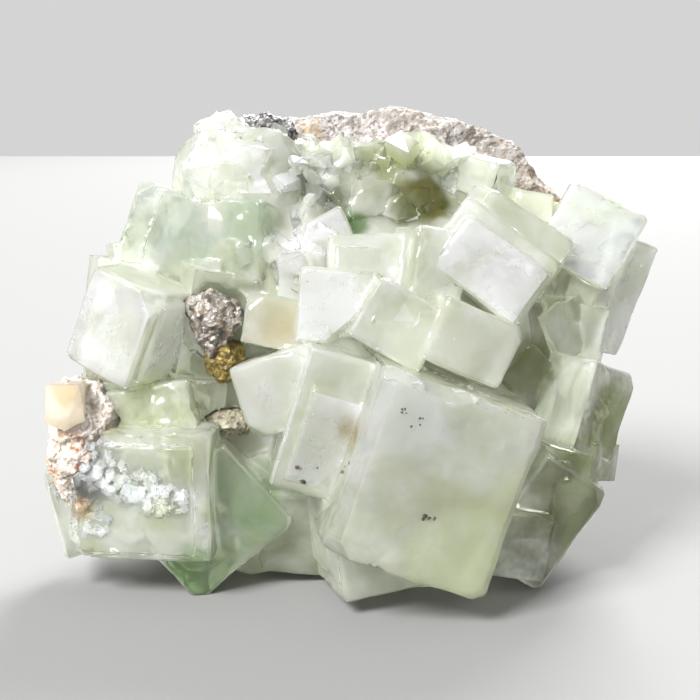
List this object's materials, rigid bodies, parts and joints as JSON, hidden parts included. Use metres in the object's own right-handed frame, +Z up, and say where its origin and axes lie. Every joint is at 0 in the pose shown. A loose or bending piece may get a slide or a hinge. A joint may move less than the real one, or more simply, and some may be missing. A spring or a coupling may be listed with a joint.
{
  "type": "fluorite cluster",
  "caption": "Hand specimen of intergrown pale green fluorite cubes on a slab of matrix rock, with galena and a stained quartz crust; stands on a shelf as a display piece.",
  "frame": {"origin": "on the resting surface, under the middle of the cluster", "axes": "+Z up, -Y the side that the crystals face, +X to the right when the crystals are looked at"},
  "size_m": [0.1062, 0.064, 0.079],
  "materials": {
    "fluorite": "clear to milky pale green crystal, glossy faces with frosted and broken areas",
    "matrix": "rough speckled tan, grey and rust-stained rock",
    "galena": "granular dark grey metallic mineral",
    "brassy_sulphide": "granular brassy metallic mineral",
    "matrix_chip": "rough brown stained rock",
    "dark_sulphide": "granular dark metallic mineral",
    "quartz_crust": "sugary pinkish white crust with orange rust stains"
  },
  "bodies": {
    "root": {"fluorite_crystals": "fluorite", "matrix_rock": "matrix", "galena_lump": "galena", "brassy_sulphide": "brassy_sulphide", "matrix_chip": "matrix_chip", "dark_sulphide": "dark_sulphide", "quartz_crust": "quartz_crust"}
  },
  "joints": []
}
